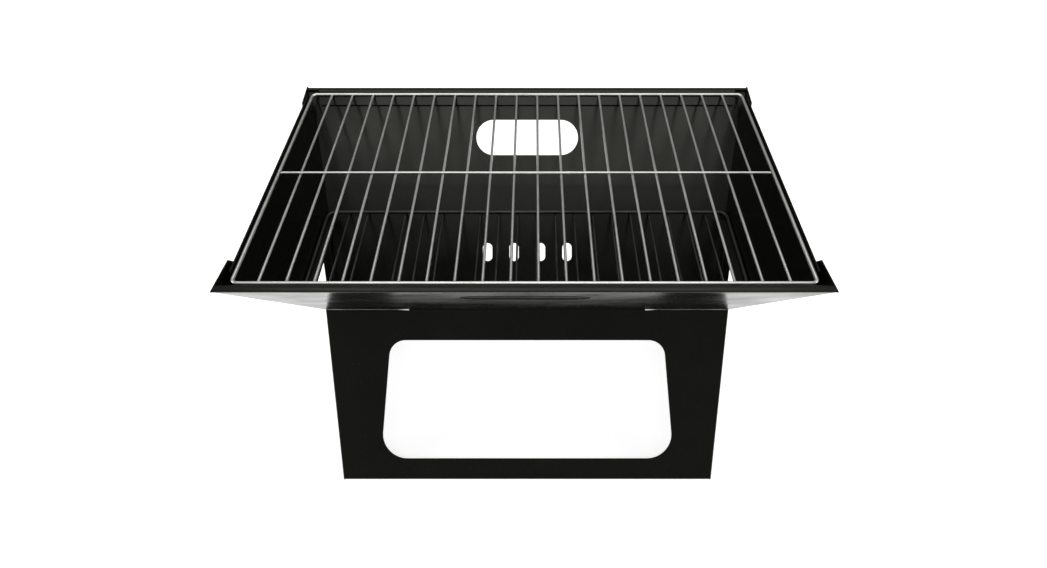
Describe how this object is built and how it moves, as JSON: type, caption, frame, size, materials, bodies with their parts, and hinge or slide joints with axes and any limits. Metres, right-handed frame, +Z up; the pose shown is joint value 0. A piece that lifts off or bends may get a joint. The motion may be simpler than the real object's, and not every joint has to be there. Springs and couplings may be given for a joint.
{
  "type": "folding camp grill",
  "caption": "Folding charcoal camp grill: two crossed sheet-steel panels form a V trough and legs, with end plates, a wire charcoal grate and a wire cooking grid.",
  "frame": {"origin": "on the ground, below the middle of the pivot rod", "axes": "+X along the pivot rod to the user's right, +Y from the front to the back, +Z up"},
  "size_m": [0.4482, 0.2892, 0.2924],
  "materials": {
    "black_enamel": "gloss",
    "chrome_wire": "bright",
    "grate_wire": "satin",
    "zinc_rod": "satin"
  },
  "bodies": {
    "hinge_rod": {"pivot_rod": "zinc_rod", "rod_cap_left": "zinc_rod", "rod_cap_right": "zinc_rod"},
    "rear_panel": {"rear_panel": "black_enamel"},
    "front_panel": {"front_panel": "black_enamel"},
    "charcoal_grate": {"grate_frame": "grate_wire", "grate_bar_01": "grate_wire", "grate_bar_02": "grate_wire", "grate_bar_03": "grate_wire", "grate_bar_04": "grate_wire", "grate_bar_05": "grate_wire", "grate_bar_06": "grate_wire", "grate_bar_07": "grate_wire", "grate_bar_08": "grate_wire", "grate_bar_09": "grate_wire", "grate_bar_10": "grate_wire", "grate_bar_11": "grate_wire", "grate_bar_12": "grate_wire", "grate_bar_13": "grate_wire", "grate_bar_14": "grate_wire", "grate_bar_15": "grate_wire", "grate_bar_16": "grate_wire", "grate_bar_17": "grate_wire", "grate_bar_18": "grate_wire", "grate_bar_19": "grate_wire", "grate_bar_20": "grate_wire"},
    "left_end_plate": {"end_plate_left": "black_enamel"},
    "right_end_plate": {"end_plate_right": "black_enamel"},
    "cooking_grid": {"grid_frame": "chrome_wire", "grid_crossbar": "chrome_wire", "grid_bar_01": "chrome_wire", "grid_bar_02": "chrome_wire", "grid_bar_03": "chrome_wire", "grid_bar_04": "chrome_wire", "grid_bar_05": "chrome_wire", "grid_bar_06": "chrome_wire", "grid_bar_07": "chrome_wire", "grid_bar_08": "chrome_wire", "grid_bar_09": "chrome_wire", "grid_bar_10": "chrome_wire", "grid_bar_11": "chrome_wire", "grid_bar_12": "chrome_wire", "grid_bar_13": "chrome_wire", "grid_bar_14": "chrome_wire", "grid_bar_15": "chrome_wire", "grid_bar_16": "chrome_wire", "grid_bar_17": "chrome_wire", "grid_bar_18": "chrome_wire", "grid_bar_19": "chrome_wire", "grid_bar_20": "chrome_wire"}
  },
  "joints": [
    {"name": "rear_panel_fold", "type": "hinge", "parent": "hinge_rod", "child": "rear_panel", "pos_m": [0, 0, 0.136], "axis": [1, 0, 0], "range_deg": [0, 39.2]},
    {"name": "front_panel_fold", "type": "hinge", "parent": "hinge_rod", "child": "front_panel", "pos_m": [0, 0, 0.136], "axis": [1, 0, 0], "range_deg": [-39.2, 0]},
    {"name": "charcoal_grate_lift", "type": "slide", "parent": "hinge_rod", "child": "charcoal_grate", "axis": [0, 0, 1], "range_m": [0, 0.2875]},
    {"name": "left_end_plate_lift", "type": "slide", "parent": "hinge_rod", "child": "left_end_plate", "axis": [0, 0, 1], "range_m": [0, 0.2875]},
    {"name": "right_end_plate_lift", "type": "slide", "parent": "hinge_rod", "child": "right_end_plate", "axis": [0, 0, 1], "range_m": [0, 0.2875]},
    {"name": "cooking_grid_lift", "type": "slide", "parent": "charcoal_grate", "child": "cooking_grid", "axis": [0, 0, 1], "range_m": [0, 0.15]}
  ],
  "couplings": [
    {"joint": "front_panel_fold", "follows": "rear_panel_fold", "ratio": -1},
    {"joint": "charcoal_grate_lift", "follows": "rear_panel_fold", "m_per_rad": 0.42},
    {"joint": "left_end_plate_lift", "follows": "rear_panel_fold", "m_per_rad": 0.42},
    {"joint": "right_end_plate_lift", "follows": "rear_panel_fold", "m_per_rad": 0.42}
  ]
}
